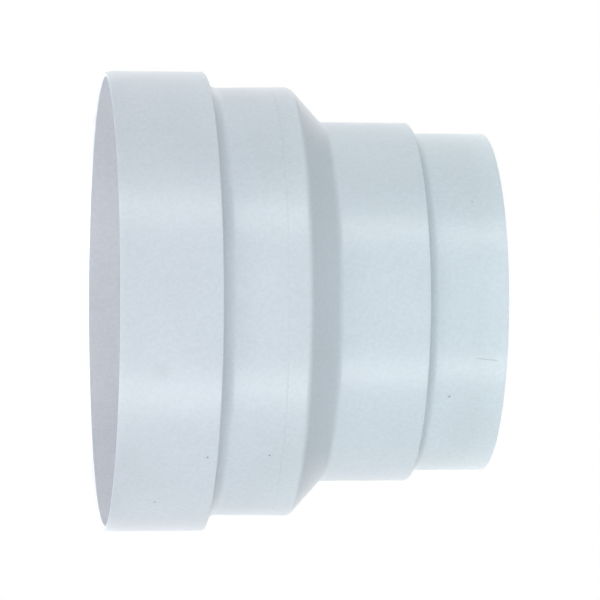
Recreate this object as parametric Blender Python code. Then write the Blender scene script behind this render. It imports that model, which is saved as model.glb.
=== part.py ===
"""Round ventilation duct reducer: one thin-walled plastic moulding in four stepped sections.

It stands on the rim of its small spigot, with its axis on +Z and its wide socket opening upwards.
From the top: socket, barrel, cone, collar, spigot. All lengths are in metres.
"""

import math

import bmesh
import bpy
from mathutils import Matrix, Vector

MM = 0.001

# Driving dimensions
HEIGHT = 108.0 * MM
WALL = 1.5 * MM
SOCKET_DIAMETER = 130.0 * MM
BARREL_DIAMETER = 121.7 * MM
COLLAR_DIAMETER = 102.0 * MM
SPIGOT_DIAMETER = 96.0 * MM

# Depths of the outside edges below the socket's rim
SOCKET_DEPTH = 27.8 * MM
BARREL_DEPTH = 52.0 * MM
CONE_DEPTH = 61.0 * MM
COLLAR_DEPTH = 86.0 * MM

# Slope of the two small steps off the axis, and the barrel's widening towards the cone
STEP_ANGLE = math.radians(78)
BARREL_DRAFT = math.radians(0.9)

# Edge rounding on the outside, the smallest rounding inside a corner, and the rims' rounding
STEP_EDGE_RADIUS = 0.5 * MM
SOCKET_STEP_ROOT_RADIUS = 3.9 * MM
COLLAR_STEP_ROOT_RADIUS = 2.6 * MM
CONE_SHOULDER_RADIUS = 2.3 * MM
CONE_ROOT_RADIUS = 2.8 * MM
LEAST_INNER_RADIUS = 0.4 * MM
RIM_RADIUS = 0.5 * MM

# Fineness of the faceted model
SEGMENTS = 72
ARC_STEP = math.radians(30)

PLASTIC_COLOUR = (0.74, 0.83, 0.90, 1.0)
PLASTIC_ROUGHNESS = 0.30


def clear_scene():
    """Remove every object that the open file holds."""
    for existing in list(bpy.data.objects):
        bpy.data.objects.remove(existing, do_unlink=True)


def outer_corners():
    """Sharp corners of the outside outline, from the socket's rim down: (radius, height, rounding)."""
    socket = SOCKET_DIAMETER / 2
    barrel = BARREL_DIAMETER / 2
    collar = COLLAR_DIAMETER / 2
    spigot = SPIGOT_DIAMETER / 2
    barrel_top = barrel - (BARREL_DEPTH - SOCKET_DEPTH) * math.tan(BARREL_DRAFT)
    socket_step = (socket - barrel_top) / math.tan(STEP_ANGLE)
    collar_step = (collar - spigot) / math.tan(STEP_ANGLE)
    return [
        (socket, HEIGHT, RIM_RADIUS),
        (socket, HEIGHT - SOCKET_DEPTH, STEP_EDGE_RADIUS),
        (barrel_top, HEIGHT - SOCKET_DEPTH - socket_step, SOCKET_STEP_ROOT_RADIUS),
        (barrel, HEIGHT - BARREL_DEPTH, CONE_SHOULDER_RADIUS),
        (collar, HEIGHT - CONE_DEPTH, CONE_ROOT_RADIUS),
        (collar, HEIGHT - COLLAR_DEPTH, STEP_EDGE_RADIUS),
        (spigot, HEIGHT - COLLAR_DEPTH - collar_step, COLLAR_STEP_ROOT_RADIUS),
        (spigot, 0.0, RIM_RADIUS),
    ]


def inner_corners(outer):
    """Sharp corners of the inside outline, one wall thickness in, from the spigot's rim up."""
    corners = [(outer[-1][0] - WALL, outer[-1][1], RIM_RADIUS)]
    for above, corner, below in reversed(list(zip(outer, outer[1:], outer[2:]))):
        corner_point = Vector(corner[:2])
        down_in = (corner_point - Vector(above[:2])).normalized()
        down_out = (Vector(below[:2]) - corner_point).normalized()
        turn = math.atan2(down_in.cross(down_out), down_in.dot(down_out))
        inward = (Vector((down_in.y, -down_in.x)) + Vector((down_out.y, -down_out.x))).normalized()
        point = corner_point + inward * WALL / math.cos(turn / 2)
        rounding = corner[2] if turn > 0 else max(corner[2] - WALL, LEAST_INNER_RADIUS)
        corners.append((point.x, point.y, rounding))
    corners.append((outer[0][0] - WALL, outer[0][1], RIM_RADIUS))
    return corners


def rounded_outline(corners):
    """Replace each corner of a closed outline by an arc that is tangent to both its sides."""
    outline = []
    for index, (radius, height, rounding) in enumerate(corners):
        corner = Vector((radius, height))
        back = (Vector(corners[index - 1][:2]) - corner).normalized()
        ahead = (Vector(corners[(index + 1) % len(corners)][:2]) - corner).normalized()
        turn = math.pi - back.angle(ahead)
        centre = corner + (back + ahead).normalized() * rounding / math.cos(turn / 2)
        start = corner + back * rounding * math.tan(turn / 2) - centre
        sweep = -math.copysign(turn, back.cross(ahead))
        steps = math.ceil(turn / ARC_STEP)
        for step in range(steps + 1):
            outline.append(centre + Matrix.Rotation(sweep * step / steps, 2) @ start)
    return outline


def revolve(name, outline):
    """Spin a closed outline of (radius, height) points round +Z into one closed solid."""
    mesh = bpy.data.meshes.new(name)
    shape = bmesh.new()
    ring = [shape.verts.new((point.x, 0.0, point.y)) for point in outline]
    edges = [shape.edges.new((vertex, ring[index - 1])) for index, vertex in enumerate(ring)]
    bmesh.ops.spin(
        shape,
        geom=edges,
        cent=(0.0, 0.0, 0.0),
        axis=(0.0, 0.0, 1.0),
        angle=2 * math.pi,
        steps=SEGMENTS,
        use_merge=True,
    )
    bmesh.ops.recalc_face_normals(shape, faces=shape.faces)
    shape.to_mesh(mesh)
    shape.free()
    mesh.shade_smooth()
    mesh.set_sharp_from_angle(angle=math.radians(30))
    solid = bpy.data.objects.new(name, mesh)
    bpy.context.scene.collection.objects.link(solid)
    return solid


def white_plastic():
    """Satin bluish-white plastic."""
    material = bpy.data.materials.new("white_plastic")
    material.use_nodes = True
    shader = material.node_tree.nodes["Principled BSDF"]
    shader.inputs["Base Color"].default_value = PLASTIC_COLOUR
    shader.inputs["Roughness"].default_value = PLASTIC_ROUGHNESS
    shader.inputs["Metallic"].default_value = 0.0
    return material


def build_reducer():
    """Model the whole moulding, which is the object's only piece."""
    outer = outer_corners()
    outline = rounded_outline(outer + inner_corners(outer))
    reducer = revolve("reducer_body", outline)
    reducer.data.materials.append(white_plastic())
    return reducer


clear_scene()
build_reducer()
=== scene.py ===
"""Looks of the round ventilation duct reducer: one turned plastic moulding in soft studio light.

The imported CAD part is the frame: it stands on the rim of its small spigot, with its axis on +Z and
its wide socket opening upwards. A finer moulding with the same outline takes the CAD body's place.
All lengths are in metres.
"""

import math

import bmesh
import bpy
from mathutils import Matrix, Vector


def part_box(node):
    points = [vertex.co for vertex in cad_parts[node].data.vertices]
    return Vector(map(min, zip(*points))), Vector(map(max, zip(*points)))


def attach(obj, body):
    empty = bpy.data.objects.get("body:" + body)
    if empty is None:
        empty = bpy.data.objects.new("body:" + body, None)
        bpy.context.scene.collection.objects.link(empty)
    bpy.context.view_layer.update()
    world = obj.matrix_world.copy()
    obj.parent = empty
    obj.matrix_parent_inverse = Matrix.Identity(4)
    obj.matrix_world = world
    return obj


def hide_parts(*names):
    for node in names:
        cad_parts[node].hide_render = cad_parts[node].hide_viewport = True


MM = 0.001

# The moulding's sizes that the frame's box doesn't give
WALL = 1.5 * MM
BARREL_DIAMETER = 121.7 * MM
COLLAR_DIAMETER = 102.0 * MM
SPIGOT_DIAMETER = 96.0 * MM

# Depths of the outside edges below the socket's rim
SOCKET_DEPTH = 27.8 * MM
PARTING_DEPTH = 46.0 * MM
BARREL_DEPTH = 52.0 * MM
CONE_DEPTH = 61.0 * MM
COLLAR_DEPTH = 86.0 * MM

# Slope of the two small steps off the axis, and the barrel's widening towards the cone
STEP_ANGLE = math.radians(78)
BARREL_DRAFT = math.radians(0.9)

# Edge rounding on the outside, the smallest rounding inside a corner, and the rims' rounding
STEP_EDGE_RADIUS = 0.5 * MM
SOCKET_STEP_ROOT_RADIUS = 3.9 * MM
COLLAR_STEP_ROOT_RADIUS = 2.6 * MM
CONE_SHOULDER_RADIUS = 2.3 * MM
CONE_ROOT_RADIUS = 2.8 * MM
LEAST_INNER_RADIUS = 0.4 * MM
RIM_RADIUS = 0.04 * MM

# The socket's outside draws in a little over the last stretch below its rim
RIM_RELIEF = 0.4 * MM
RIM_RELIEF_DEPTH = 2.2 * MM
RIM_RELIEF_RADIUS = 11.0 * MM

# Chamfer inside the socket's rim, which leads the wide duct in
LEAD_IN_WIDTH = 0.80 * MM
LEAD_IN_DEPTH = 0.65 * MM
LEAD_IN_RADIUS = 0.15 * MM

# The mould's parting line, a fine groove round the barrel
PARTING_WIDTH = 0.30 * MM
PARTING_GROOVE_DEPTH = 0.065 * MM
PARTING_RADIUS = 0.04 * MM

# Fineness of the mesh
SEGMENTS = 360
ARC_STEP = math.radians(7.5)
RING_SPACING = 1.5 * MM

# Colours of the plastic, and the slight painted glow that lightens its last stretch above the spigot's
# rim
SOCKET_COLOUR = (0.725, 0.795, 0.873, 1.0)
# The spigot's colour is greener and lighter: a painted tint of bluish bounce light from the floor
# side, blended in along the axis
SPIGOT_BOUNCE_TINTED_COLOUR = (0.735, 0.860, 0.925, 1.0)
INSIDE_COLOUR = (0.805, 0.830, 0.880, 1.0)
SPIGOT_PAINTED_GLOW = 1.07
SPIGOT_PAINTED_GLOW_DEPTH = 8.0 * MM

# Most of a noise pattern lies between these two values
NOISE_LOW = 0.3
NOISE_HIGH = 0.7

# Surface detail of the plastic
ROUGHNESS = 0.30
ROUGHNESS_CHANGE = 0.02
GRAIN_SIZE = 1.0 * MM
GRAIN_DETAIL = 2.0
GRAIN_CONTRAST = 0.032
GRAIN_DEPTH = 0.002 * MM
MOTTLE_SIZE = 24.0 * MM
MOTTLE_DETAIL = 3.0
MOTTLE_CONTRAST = 0.022
SPECK_SPACING = 17.0 * MM
SPECK_RADIUS = 0.40 * MM
SPECK_COLOUR = (0.36, 0.42, 0.46, 1.0)

# The clearest specks: angle round the duct from -Y towards -X, distance from the axis, height
CLEAR_SPECKS = (
    (math.radians(57.9), 65.0 * MM, 96.1 * MM),
    (math.radians(40.6), 65.0 * MM, 83.1 * MM),
    (math.radians(43.8), 60.7 * MM, 65.5 * MM),
    (math.radians(32.9), 48.0 * MM, 15.3 * MM),
)

# One soft darker spot painted on the socket, painted shade where its lower highlight dips, placed like
# the specks
PAINTED_HIGHLIGHT_DIP = (math.radians(16.6), 65.0 * MM, 96.7 * MM)
PAINTED_HIGHLIGHT_DIP_RADIUS = 3.4 * MM
PAINTED_HIGHLIGHT_DIP_SHADE = 0.92

# The scratch: angle measured like the specks', sideways lean per height, width, lowest and highest
# point, and depth as a multiple of the grain's
SCRATCH_ANGLE = math.radians(19.2)
SCRATCH_LEAN = 0.11
SCRATCH_WIDTH = 0.45 * MM
SCRATCH_LOW = 2.3 * MM
SCRATCH_HIGH = 9.3 * MM
SCRATCH_DEPTH = 2.0
SCRATCH_COLOUR = (0.56, 0.70, 0.72, 1.0)

# Brightness of the room that the plastic sees, by the Z of a direction
AMBIENT = ((-1.0, 0.1), (-0.5, 0.40), (-0.2, 1.50), (0.1, 0.05), (1.0, 0.05))

# The room's share that is left straight towards the camera, and the Y where the full room begins
CAMERA_SIDE_SHARE = 0.6
CAMERA_SIDE_END = -0.8

# The white backdrop's brightness straight behind the duct, and the Y where it begins
BACKDROP_BRIGHTNESS = 1.3
BACKDROP_START = 0.5

# Softboxes: azimuth from the camera's side towards +X, elevation, width, height and brightness
SOFTBOXES = {
    "softbox_right": (math.radians(45), math.radians(20), 0.28, 1.7, 3.18),
    "softbox_left": (math.radians(-45), math.radians(20), 0.32, 1.7, 3.39),
    "overhead": (math.radians(180), math.radians(78), 1.0, 0.6, 5.8),
}
SOFTBOX_DISTANCE = 1.0
SOFTBOX_TARGET_HEIGHT = 50.0 * MM

# The floor lies a hair below the spigot's rim
FLOOR_RADIUS = 8.0
FLOOR_GAP = 0.2 * MM

# Camera, in front of the duct on the -Y side, above the socket's rim and pitched down a little
CAMERA_DISTANCE = 1.1
CAMERA_ABOVE_RIM = 81.6 * MM
CAMERA_ASIDE = 0.42 * MM
CAMERA_PITCH = math.radians(7.143)
CAMERA_ROLL = math.radians(-90 + 0.119)
FOCAL_LENGTH_MM = 233.8
SENSOR_WIDTH_MM = 36.0


def outer_corners(low, high):
    """Sharp corners of the outside outline, from the socket's rim down: (radius, height, rounding)."""
    rim = high.z
    socket = high.x
    barrel = BARREL_DIAMETER / 2
    collar = COLLAR_DIAMETER / 2
    spigot = SPIGOT_DIAMETER / 2
    barrel_top = barrel - (BARREL_DEPTH - SOCKET_DEPTH) * math.tan(BARREL_DRAFT)
    socket_step = (socket - barrel_top) / math.tan(STEP_ANGLE)
    collar_step = (collar - spigot) / math.tan(STEP_ANGLE)
    return [
        (socket - RIM_RELIEF, rim, RIM_RADIUS),
        (socket, rim - RIM_RELIEF_DEPTH, RIM_RELIEF_RADIUS),
        (socket, rim - SOCKET_DEPTH, STEP_EDGE_RADIUS),
        (barrel_top, rim - SOCKET_DEPTH - socket_step, SOCKET_STEP_ROOT_RADIUS),
        (barrel, rim - BARREL_DEPTH, CONE_SHOULDER_RADIUS),
        (collar, rim - CONE_DEPTH, CONE_ROOT_RADIUS),
        (collar, rim - COLLAR_DEPTH, STEP_EDGE_RADIUS),
        (spigot, rim - COLLAR_DEPTH - collar_step, COLLAR_STEP_ROOT_RADIUS),
        (spigot, low.z, RIM_RADIUS),
    ]


def inner_corners(outer):
    """Sharp corners of the inside outline, one wall thickness in, from the spigot's rim up."""
    corners = [(outer[-1][0] - WALL, outer[-1][1], RIM_RADIUS)]
    for above, corner, below in reversed(list(zip(outer[1:], outer[2:], outer[3:]))):
        corner_point = Vector(corner[:2])
        down_in = (corner_point - Vector(above[:2])).normalized()
        down_out = (Vector(below[:2]) - corner_point).normalized()
        turn = math.atan2(down_in.cross(down_out), down_in.dot(down_out))
        inward = (Vector((down_in.y, -down_in.x)) + Vector((down_out.y, -down_out.x))).normalized()
        point = corner_point + inward * WALL / math.cos(turn / 2)
        rounding = corner[2] if turn > 0 else max(corner[2] - WALL, LEAST_INNER_RADIUS)
        corners.append((point.x, point.y, rounding))
    bore, rim = outer[1][0] - WALL, outer[0][1]
    corners.append((bore, rim - LEAD_IN_DEPTH, LEAD_IN_RADIUS))
    corners.append((bore + LEAD_IN_WIDTH, rim, LEAD_IN_RADIUS))
    return corners


def parting_corners(outer):
    """Corners of the parting line's groove, on the sloping barrel wall."""
    top_radius, top_height = outer[3][:2]
    middle = outer[0][1] - PARTING_DEPTH
    corners = []
    for along, depth in ((0.5, 0.0), (0.0, PARTING_GROOVE_DEPTH), (-0.5, 0.0)):
        height = middle + along * PARTING_WIDTH
        radius = top_radius + (top_height - height) * math.tan(BARREL_DRAFT) - depth
        corners.append((radius, height, PARTING_RADIUS))
    return corners


def rounded_outline(corners):
    """Replace each corner of a closed outline by an arc that is tangent to both its sides."""
    outline = []
    for index, (radius, height, rounding) in enumerate(corners):
        corner = Vector((radius, height))
        back = (Vector(corners[index - 1][:2]) - corner).normalized()
        ahead = (Vector(corners[(index + 1) % len(corners)][:2]) - corner).normalized()
        turn = math.pi - back.angle(ahead)
        centre = corner + (back + ahead).normalized() * rounding / math.cos(turn / 2)
        start = corner + back * rounding * math.tan(turn / 2) - centre
        sweep = -math.copysign(turn, back.cross(ahead))
        steps = math.ceil(turn / ARC_STEP)
        for step in range(steps + 1):
            outline.append(centre + Matrix.Rotation(sweep * step / steps, 2) @ start)
    return outline


def with_even_rings(outline):
    """Split the long straight stretches of a closed outline, so that rings are evenly spaced."""
    finer = []
    for index, point in enumerate(outline):
        ahead = outline[(index + 1) % len(outline)]
        parts = max(1, math.ceil((ahead - point).length / RING_SPACING))
        for part in range(parts):
            finer.append(point.lerp(ahead, part / parts))
    return finer


def revolve(name, outline):
    """Spin a closed outline of (radius, height) points round +Z into one closed surface."""
    vertices = []
    faces = []
    count = len(outline)
    for segment in range(SEGMENTS):
        angle = 2 * math.pi * segment / SEGMENTS
        ahead = (segment + 1) % SEGMENTS
        for index, point in enumerate(outline):
            vertices.append((point.x * math.cos(angle), point.x * math.sin(angle), point.y))
            below = (index + 1) % count
            faces.append((
                segment * count + index,
                segment * count + below,
                ahead * count + below,
                ahead * count + index,
            ))
    mesh = bpy.data.meshes.new(name)
    mesh.from_pydata(vertices, [], faces)
    mesh.shade_smooth()
    solid = bpy.data.objects.new(name, mesh)
    bpy.context.scene.collection.objects.link(solid)
    return solid


def add_math(tree, operation, first, second):
    """Add a math node fed by two values, each a socket or a number, and give its result."""
    node = tree.nodes.new("ShaderNodeMath")
    node.operation = operation
    for port, value in zip(node.inputs, (first, second)):
        if isinstance(value, bpy.types.NodeSocket):
            tree.links.new(value, port)
        else:
            port.default_value = value
    return node.outputs["Value"]


def add_range(tree, value, start, end, start_result, end_result):
    """Map a value from one range to another, held at both ends."""
    node = tree.nodes.new("ShaderNodeMapRange")
    node.inputs["From Min"].default_value = start
    node.inputs["From Max"].default_value = end
    node.inputs["To Min"].default_value = start_result
    node.inputs["To Max"].default_value = end_result
    tree.links.new(value, node.inputs["Value"])
    return node.outputs["Result"]


def add_spread(tree, noise, middle, change):
    """Turn a noise pattern into a value that varies about a middle by at most the given change."""
    return add_range(tree, noise, NOISE_LOW, NOISE_HIGH, middle - change, middle + change)


def add_noise(tree, place, size, detail):
    """A noise pattern whose features are about the given size across."""
    node = tree.nodes.new("ShaderNodeTexNoise")
    node.inputs["Scale"].default_value = 1 / size
    node.inputs["Detail"].default_value = detail
    tree.links.new(place, node.inputs["Vector"])
    return node.outputs["Fac"]


def add_blend(tree, share, first, second):
    """Blend two colours, each a socket or a colour value."""
    node = tree.nodes.new("ShaderNodeMix")
    node.data_type = "RGBA"
    tree.links.new(share, node.inputs["Factor"])
    for port, colour in (("A", first), ("B", second)):
        if isinstance(colour, bpy.types.NodeSocket):
            tree.links.new(colour, node.inputs[port])
        else:
            node.inputs[port].default_value = colour
    return node.outputs["Result"]


def add_base_tint(tree, geometry, height, low, high):
    """Bluish white outside, greener towards the spigot through a painted tint of bounce light, and
    greyer inside.
    """
    along = add_range(tree, height, low.z, high.z, 0.0, 1.0)
    outside = add_blend(tree, along, SPIGOT_BOUNCE_TINTED_COLOUR, SOCKET_COLOUR)
    radial = tree.nodes.new("ShaderNodeVectorMath")
    radial.operation = "MULTIPLY"
    radial.inputs[1].default_value = (1.0, 1.0, 0.0)
    tree.links.new(geometry.outputs["Position"], radial.inputs[0])
    facing = tree.nodes.new("ShaderNodeVectorMath")
    facing.operation = "DOT_PRODUCT"
    tree.links.new(radial.outputs["Vector"], facing.inputs[0])
    tree.links.new(geometry.outputs["True Normal"], facing.inputs[1])
    is_outside = add_math(tree, "GREATER_THAN", facing.outputs["Value"], 0.0)
    return add_blend(tree, is_outside, INSIDE_COLOUR, outside)


def add_distance(tree, place, angle, radius, height):
    """Distance from a spot given by its angle from -Y towards -X, its radius and its height."""
    node = tree.nodes.new("ShaderNodeVectorMath")
    node.operation = "DISTANCE"
    node.inputs[1].default_value = (-math.sin(angle) * radius, -math.cos(angle) * radius, height)
    tree.links.new(place, node.inputs[0])
    return node.outputs["Value"]


def add_specks(tree, place):
    """Dark specks: a few clear ones, and more where scattered points come close to the surface."""
    points = tree.nodes.new("ShaderNodeTexVoronoi")
    points.inputs["Scale"].default_value = 1 / SPECK_SPACING
    tree.links.new(place, points.inputs["Vector"])
    distance = add_math(tree, "MULTIPLY", points.outputs["Distance"], SPECK_SPACING)
    for spot in CLEAR_SPECKS:
        distance = add_math(tree, "MINIMUM", distance, add_distance(tree, place, *spot))
    return add_range(tree, distance, SPECK_RADIUS / 2, SPECK_RADIUS, 1.0, 0.0)


def add_scratch(tree, parts, height):
    """One short slanting scratch, close to the spigot's rim."""
    across_x = add_math(tree, "MULTIPLY", parts.outputs["X"], math.cos(SCRATCH_ANGLE))
    across_y = add_math(tree, "MULTIPLY", parts.outputs["Y"], math.sin(SCRATCH_ANGLE))
    across = add_math(tree, "SUBTRACT", across_x, across_y)
    middle = (SCRATCH_LOW + SCRATCH_HIGH) / 2
    lean = add_math(tree, "MULTIPLY", add_math(tree, "SUBTRACT", height, middle), SCRATCH_LEAN)
    distance = add_math(tree, "ABSOLUTE", add_math(tree, "SUBTRACT", across, lean), 0.0)
    line = add_range(tree, distance, SCRATCH_WIDTH / 4, SCRATCH_WIDTH / 2, 1.0, 0.0)
    low_end = add_range(tree, height, SCRATCH_LOW, SCRATCH_LOW + MM, 0.0, 1.0)
    high_end = add_range(tree, height, SCRATCH_HIGH - MM, SCRATCH_HIGH, 1.0, 0.0)
    in_front = add_math(tree, "LESS_THAN", parts.outputs["Y"], 0.0)
    ends = add_math(tree, "MULTIPLY", low_end, high_end)
    return add_math(tree, "MULTIPLY", add_math(tree, "MULTIPLY", line, in_front), ends)


def add_plastic_colour(tree, geometry, height, grain, mottle, low, high):
    """The plastic's tint (greener towards the spigot with painted bounce light) with its grain,
    mottling, specks, a painted darker spot in the socket's highlight and a painted glow near the
    spigot's rim.
    """
    place = geometry.outputs["Position"]
    tint = add_base_tint(tree, geometry, height, low, high)
    mottling = add_spread(tree, mottle, 1.0, MOTTLE_CONTRAST)
    # painted glow: the base colour is lightened over the last stretch above the spigot's rim
    painted_rim_glow = add_range(tree, height, low.z, low.z + SPIGOT_PAINTED_GLOW_DEPTH, SPIGOT_PAINTED_GLOW, 1.0)
    # painted shade: a soft darker spot where the socket's lower highlight dips
    highlight_dip = add_range(tree, add_distance(tree, place, *PAINTED_HIGHLIGHT_DIP), 0.0, PAINTED_HIGHLIGHT_DIP_RADIUS, PAINTED_HIGHLIGHT_DIP_SHADE, 1.0)
    shade = add_spread(tree, grain, 1.0, GRAIN_CONTRAST)
    for factor in (mottling, painted_rim_glow, highlight_dip):
        shade = add_math(tree, "MULTIPLY", shade, factor)
    shaded = tree.nodes.new("ShaderNodeVectorMath")
    shaded.operation = "SCALE"
    tree.links.new(tint, shaded.inputs["Vector"])
    tree.links.new(shade, shaded.inputs["Scale"])
    return add_blend(tree, add_specks(tree, place), shaded.outputs["Vector"], SPECK_COLOUR)


def white_plastic(low, high):
    """Satin bluish-white plastic with a fine grain, soft mottling, a few specks, a painted darker spot
    in a highlight, painted glow and bounce tint towards the spigot, and one scratch.
    """
    material = bpy.data.materials.new("satin_white_plastic")
    material.use_nodes = True
    tree = material.node_tree
    shader = tree.nodes["Principled BSDF"]
    geometry = tree.nodes.new("ShaderNodeNewGeometry")
    place = geometry.outputs["Position"]
    parts = tree.nodes.new("ShaderNodeSeparateXYZ")
    tree.links.new(place, parts.inputs["Vector"])
    height = parts.outputs["Z"]

    grain = add_noise(tree, place, GRAIN_SIZE, GRAIN_DETAIL)
    mottle = add_noise(tree, place, MOTTLE_SIZE, MOTTLE_DETAIL)
    scratch = add_scratch(tree, parts, height)

    colour = add_plastic_colour(tree, geometry, height, grain, mottle, low, high)
    scratched = add_blend(tree, scratch, colour, SCRATCH_COLOUR)
    tree.links.new(scratched, shader.inputs["Base Color"])
    roughness = add_spread(tree, mottle, ROUGHNESS, ROUGHNESS_CHANGE)
    tree.links.new(roughness, shader.inputs["Roughness"])

    furrow = add_math(tree, "MULTIPLY", scratch, SCRATCH_DEPTH)
    bump = tree.nodes.new("ShaderNodeBump")
    bump.inputs["Strength"].default_value = 1.0
    bump.inputs["Distance"].default_value = GRAIN_DEPTH
    tree.links.new(add_math(tree, "SUBTRACT", grain, furrow), bump.inputs["Height"])
    tree.links.new(bump.outputs["Normal"], shader.inputs["Normal"])
    return material


def build_moulding(low, high):
    """The whole reducer, finely turned, in place of the CAD body."""
    outer = outer_corners(low, high)
    outside = outer[:4] + parting_corners(outer) + outer[4:]
    outline = with_even_rings(rounded_outline(outside + inner_corners(outer)))
    moulding = revolve("reducer_moulding", outline)
    moulding.data.materials.append(white_plastic(low, high))
    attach(moulding, "root")
    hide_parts("reducer_body")


def build_floor():
    """A wide white floor under the reducer, which takes no shadow and lights nothing."""
    mesh = bpy.data.meshes.new("studio_floor")
    shape = bmesh.new()
    bmesh.ops.create_circle(shape, cap_ends=True, radius=FLOOR_RADIUS, segments=64)
    shape.to_mesh(mesh)
    shape.free()
    floor = bpy.data.objects.new("studio_floor", mesh)
    floor.location.z = -FLOOR_GAP
    bpy.context.scene.collection.objects.link(floor)
    material = bpy.data.materials.new("floor_white")
    material.use_nodes = True
    nodes = material.node_tree.nodes
    nodes.clear()
    glow = nodes.new("ShaderNodeEmission")
    output = nodes.new("ShaderNodeOutputMaterial")
    material.node_tree.links.new(glow.outputs["Emission"], output.inputs["Surface"])
    mesh.materials.append(material)
    floor.visible_diffuse = False
    floor.visible_glossy = False
    floor.visible_shadow = False


def light_surroundings():
    """White to the camera. The plastic sees a dim room with a bright low band and a white backdrop."""
    world = bpy.data.worlds.new("white_studio")
    bpy.context.scene.world = world
    world.use_nodes = True
    tree = world.node_tree
    direction = tree.nodes.new("ShaderNodeTexCoord")
    parts = tree.nodes.new("ShaderNodeSeparateXYZ")
    tree.links.new(direction.outputs["Generated"], parts.inputs["Vector"])

    room = tree.nodes.new("ShaderNodeValToRGB")
    stops = room.color_ramp.elements
    stops.remove(stops[1])
    for index, (level, brightness) in enumerate(AMBIENT):
        stop = stops[0] if index == 0 else stops.new((level + 1) / 2)
        stop.position = (level + 1) / 2
        stop.color = (brightness, brightness, brightness, 1.0)
    tree.links.new(add_range(tree, parts.outputs["Z"], -1.0, 1.0, 0.0, 1.0), room.inputs["Fac"])

    along_view = parts.outputs["Y"]
    camera_side = add_range(tree, along_view, -1.0, CAMERA_SIDE_END, CAMERA_SIDE_SHARE, 1.0)
    backdrop = add_range(tree, along_view, BACKDROP_START, 1.0, 0.0, BACKDROP_BRIGHTNESS)
    backdrop.node.interpolation_type = "SMOOTHSTEP"
    path = tree.nodes.new("ShaderNodeLightPath")
    seen = add_math(tree, "MULTIPLY", room.outputs["Color"], camera_side)
    seen = add_math(tree, "MAXIMUM", seen, backdrop)
    seen = add_math(tree, "MAXIMUM", seen, path.outputs["Is Camera Ray"])
    background = tree.nodes["Background"]
    background.inputs["Color"].default_value = (1.0, 1.0, 1.0, 1.0)
    tree.links.new(seen, background.inputs["Strength"])


def softbox(name, azimuth, elevation, width, height, brightness):
    """A soft rectangular light that faces the duct, and that the camera doesn't see."""
    light = bpy.data.lights.new(name, "AREA")
    light.shape = "RECTANGLE"
    light.size = width
    light.size_y = height
    light.energy = brightness * math.pi * width * height
    lamp = bpy.data.objects.new(name, light)
    level = math.cos(elevation)
    side = Vector((math.sin(azimuth) * level, -math.cos(azimuth) * level, math.sin(elevation)))
    lamp.location = side * SOFTBOX_DISTANCE + Vector((0.0, 0.0, SOFTBOX_TARGET_HEIGHT))
    lamp.rotation_euler = side.to_track_quat("Z", "Y").to_euler()
    lamp.visible_camera = False
    bpy.context.scene.collection.objects.link(lamp)


def place_camera(high):
    """Seen from the side with the axis level in the picture, socket to the left."""
    data = bpy.data.cameras.new("camera")
    data.sensor_width = SENSOR_WIDTH_MM
    data.lens = FOCAL_LENGTH_MM
    camera = bpy.data.objects.new("camera", data)
    place = Matrix.Translation((CAMERA_ASIDE, -CAMERA_DISTANCE, high.z + CAMERA_ABOVE_RIM))
    pitch = Matrix.Rotation(math.radians(90) - CAMERA_PITCH, 4, "X")
    roll = Matrix.Rotation(CAMERA_ROLL, 4, "Z")
    camera.matrix_world = place @ pitch @ roll
    bpy.context.scene.collection.objects.link(camera)
    bpy.context.scene.camera = camera


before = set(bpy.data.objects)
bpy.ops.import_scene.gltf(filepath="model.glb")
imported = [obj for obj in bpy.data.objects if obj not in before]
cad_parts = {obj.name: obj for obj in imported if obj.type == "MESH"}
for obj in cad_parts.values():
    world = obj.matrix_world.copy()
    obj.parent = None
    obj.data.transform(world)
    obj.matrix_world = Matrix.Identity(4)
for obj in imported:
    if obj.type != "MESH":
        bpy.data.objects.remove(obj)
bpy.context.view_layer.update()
low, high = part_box("reducer_body")

build_moulding(low, high)
build_floor()
light_surroundings()
for name, settings in SOFTBOXES.items():
    softbox(name, *settings)
place_camera(high)
bpy.context.scene.view_settings.view_transform = "Standard"
